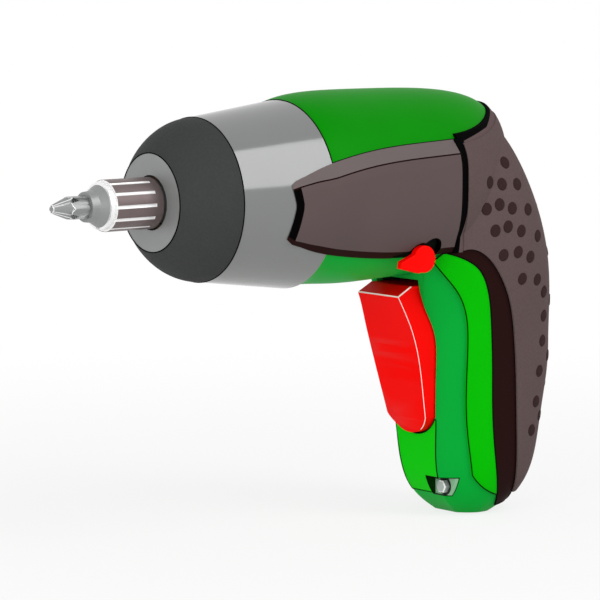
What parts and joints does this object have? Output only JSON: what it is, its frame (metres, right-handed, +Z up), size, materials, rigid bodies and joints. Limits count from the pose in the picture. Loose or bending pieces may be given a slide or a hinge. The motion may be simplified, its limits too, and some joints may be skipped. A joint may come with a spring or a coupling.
{
  "type": "compact impact driver",
  "caption": "Compact pistol-grip cordless impact driver with trigger, reversing lever, rubber rear grip and a quick-release hex chuck that holds a cross-point bit.",
  "frame": {"origin": "on the spindle axis, at the mouth of the hex socket", "axes": "+X forward out of the chuck, +Y to the user's left, +Z up"},
  "size_m": [0.1805, 0.0598, 0.1325],
  "materials": {
    "shell_green": "satin",
    "cover_green": "satin",
    "bright_green": "satin",
    "grip_rubber": "matte",
    "panel_grey": "matte",
    "rim_dark": "matte",
    "seam_black": "matte",
    "case_grey": "satin",
    "nose_dark": "matte",
    "plate_steel": "satin",
    "sleeve_metal": "satin",
    "steel": "satin",
    "bright_steel": "polished",
    "dark_steel": "satin",
    "spring_steel": "satin",
    "bronze": "satin",
    "copper": "satin",
    "ferrite": "matte",
    "motor_steel": "satin",
    "black_nylon": "matte",
    "red_plastic": "gloss",
    "cell_wrap": "satin",
    "board_green": "satin",
    "lead_red": "satin",
    "carbon": "matte",
    "foot_steel": "satin"
  },
  "bodies": {
    "housing": {"housing_left": "shell_green", "housing_right": "shell_green", "top_cover": "cover_green", "side_panel_left": "panel_grey", "side_panel_right": "panel_grey", "rear_grip": "grip_rubber", "grip_rims": "rim_dark", "side_trims": "bright_green", "seam_seal": "seam_black", "front_strip": "bright_green", "case_screws": "dark_steel", "foot_plate": "foot_steel", "foot_screw": "bright_steel", "nose_plate": "plate_steel", "nose_ring": "nose_dark", "gear_case": "case_grey", "front_bush": "bronze", "ring_gear": "dark_steel", "gearbox_plate": "black_nylon", "gearbox_screws": "dark_steel", "bearing_outer_race": "steel", "motor_can": "motor_steel", "motor_magnets": "ferrite", "motor_end_cap": "black_nylon", "motor_bushes": "bronze", "motor_brushes": "carbon", "trigger_pin": "steel", "trigger_spring": "spring_steel", "switch_body": "black_nylon", "lever_bezel": "black_nylon", "reversing_switch": "black_nylon", "cells": "cell_wrap", "cell_tabs": "spring_steel", "control_board": "board_green", "leads": "lead_red"},
    "rotor": {"motor_pinion": "dark_steel", "motor_shaft": "steel", "rotor_core": "dark_steel", "windings": "copper", "commutator": "copper"},
    "spindle": {"spindle": "steel", "cam_balls": "bright_steel", "planet_pins": "steel", "bearing_inner_race": "steel", "bearing_balls": "bright_steel", "hammer_spring": "spring_steel"},
    "planet_1": {"planet_gear_1": "dark_steel"},
    "planet_2": {"planet_gear_2": "dark_steel"},
    "planet_3": {"planet_gear_3": "dark_steel"},
    "hammer": {"hammer": "dark_steel"},
    "anvil": {"anvil": "steel", "detent_ball": "bright_steel", "bit_magnet": "dark_steel", "sleeve_stop_ring": "bright_steel", "sleeve_spring": "spring_steel"},
    "sleeve": {"chuck_sleeve": "sleeve_metal"},
    "bit": {"screwdriver_bit": "steel"},
    "trigger": {"trigger": "red_plastic"},
    "plunger": {"switch_plunger": "black_nylon"},
    "lever": {"reversing_lever": "red_plastic"}
  },
  "joints": [
    {"name": "rotor_spin", "type": "hinge", "parent": "housing", "child": "rotor", "pos_m": [-0.11, 0, 0], "axis": [1, 0, 0], "continuous": true},
    {"name": "spindle_spin", "type": "hinge", "parent": "housing", "child": "spindle", "pos_m": [-0.085, 0, 0], "axis": [1, 0, 0], "continuous": true},
    {"name": "anvil_spin", "type": "hinge", "parent": "housing", "child": "anvil", "pos_m": [-0.032, 0, 0], "axis": [1, 0, 0], "continuous": true},
    {"name": "planet_1_spin", "type": "hinge", "parent": "spindle", "child": "planet_1", "pos_m": [-0.0755, 0.00945, 0], "axis": [1, 0, 0], "continuous": true},
    {"name": "planet_2_spin", "type": "hinge", "parent": "spindle", "child": "planet_2", "pos_m": [-0.0755, -0.00473, 0.00818], "axis": [1, 0, 0], "continuous": true},
    {"name": "planet_3_spin", "type": "hinge", "parent": "spindle", "child": "planet_3", "pos_m": [-0.0755, -0.00473, -0.00818], "axis": [1, 0, 0], "continuous": true},
    {"name": "hammer_slide", "type": "slide", "parent": "spindle", "child": "hammer", "axis": [1, 0, 0], "range_m": [-0.0065, 0], "stiffness_N_per_m": 3000, "springref_m": 0.01, "deforming": ["hammer_spring"]},
    {"name": "sleeve_slide", "type": "slide", "parent": "anvil", "child": "sleeve", "axis": [1, 0, 0], "range_m": [-0.0025, 0], "stiffness_N_per_m": 800, "springref_m": 0.006, "deforming": ["sleeve_spring"]},
    {"name": "bit_pull", "type": "slide", "parent": "anvil", "child": "bit", "axis": [1, 0, 0], "range_m": [0, 0.03]},
    {"name": "trigger_pull", "type": "hinge", "parent": "housing", "child": "trigger", "pos_m": [-0.1271, 0, -0.072], "axis": [0, -1, 0], "range_deg": [0, 7], "stiffness_Nm_per_rad": 1, "springref_deg": -11.46, "deforming": ["trigger_spring"]},
    {"name": "plunger_slide", "type": "slide", "parent": "housing", "child": "plunger", "axis": [1, 0, 0], "range_m": [-0.0034, 0]},
    {"name": "reversing_lever_turn", "type": "hinge", "parent": "housing", "child": "lever", "pos_m": [-0.1085, 0.0185, -0.0187], "axis": [0, 1, 0], "range_deg": [-7, 7]}
  ],
  "couplings": [
    {"joint": "spindle_spin", "follows": "rotor_spin", "ratio": 0.16667},
    {"joint": "anvil_spin", "follows": "rotor_spin", "ratio": 0.16667},
    {"joint": "planet_1_spin", "follows": "rotor_spin", "ratio": -0.41667},
    {"joint": "planet_2_spin", "follows": "rotor_spin", "ratio": -0.41667},
    {"joint": "planet_3_spin", "follows": "rotor_spin", "ratio": -0.41667},
    {"joint": "plunger_slide", "follows": "trigger_pull", "m_per_rad": -0.0275}
  ]
}
